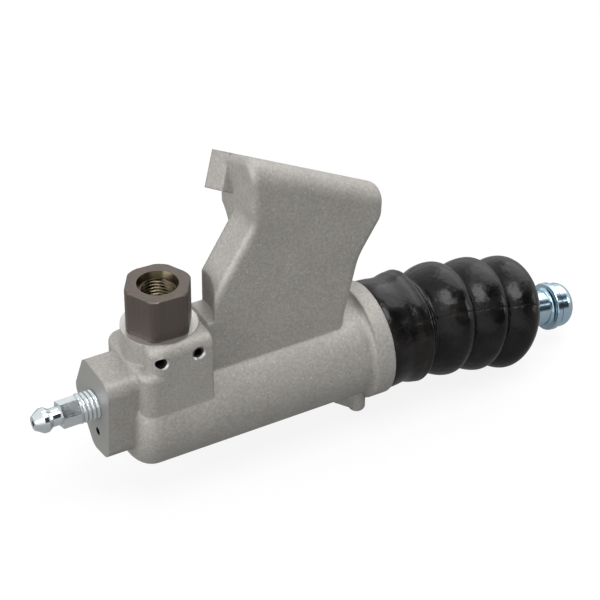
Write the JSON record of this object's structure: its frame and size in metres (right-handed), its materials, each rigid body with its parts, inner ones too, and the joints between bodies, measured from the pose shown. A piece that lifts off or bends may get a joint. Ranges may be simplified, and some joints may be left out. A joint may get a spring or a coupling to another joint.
{
  "type": "clutch slave cylinder",
  "caption": "Cast hydraulic slave cylinder with a tilted mounting pad on an arm, a hexagonal hose adapter, a bleed screw, a folded rubber boot and a pushrod.",
  "frame": {"origin": "centre of the tilted mounting pad's face, midway between its two tapped holes", "axes": "+X along the cylinder towards the pushrod, +Z along the hose port, away from the barrel"},
  "size_m": [0.1767, 0.034, 0.0977],
  "materials": {
    "cast_body": "bead blasted casting",
    "adapter_steel": "dark oiled steel",
    "plated_screw": "zinc plated",
    "plated_rod": "blue zinc plated",
    "spring_steel": "plain spring steel",
    "piston_metal": "turned",
    "boot_rubber": "matt moulded rubber",
    "seal_rubber": "smooth moulded rubber"
  },
  "bodies": {
    "housing": {"cylinder_body": "cast_body", "hose_adapter": "adapter_steel", "adapter_o_ring": "seal_rubber", "roll_pin_left": "spring_steel", "roll_pin_right": "spring_steel", "return_spring": "spring_steel", "stop_ring": "spring_steel", "boot": "boot_rubber"},
    "piston_group": {"piston": "piston_metal", "primary_cup": "seal_rubber", "secondary_cup": "seal_rubber", "spring_seat": "spring_steel"},
    "rod": {"pushrod": "plated_rod"},
    "bleeder": {"bleed_screw": "plated_screw"}
  },
  "joints": [
    {"name": "piston_slide", "type": "slide", "parent": "housing", "child": "piston_group", "axis": [1, 0, 0], "range_m": [-0.014, 0], "stiffness_N_per_m": 600, "springref_m": 0.02, "deforming": ["return_spring", "boot"]},
    {"name": "rod_rock", "type": "hinge", "parent": "piston_group", "child": "rod", "pos_m": [0.011, -0.007, -0.06043], "axis": [0, 1, 0], "range_deg": [-18.4, 0], "deforming": ["boot"]},
    {"name": "bleed_turn", "type": "hinge", "parent": "housing", "child": "bleeder", "pos_m": [-0.066, -0.007, -0.05233], "axis": [-1, 0, 0], "range_deg": [0, 180]}
  ]
}
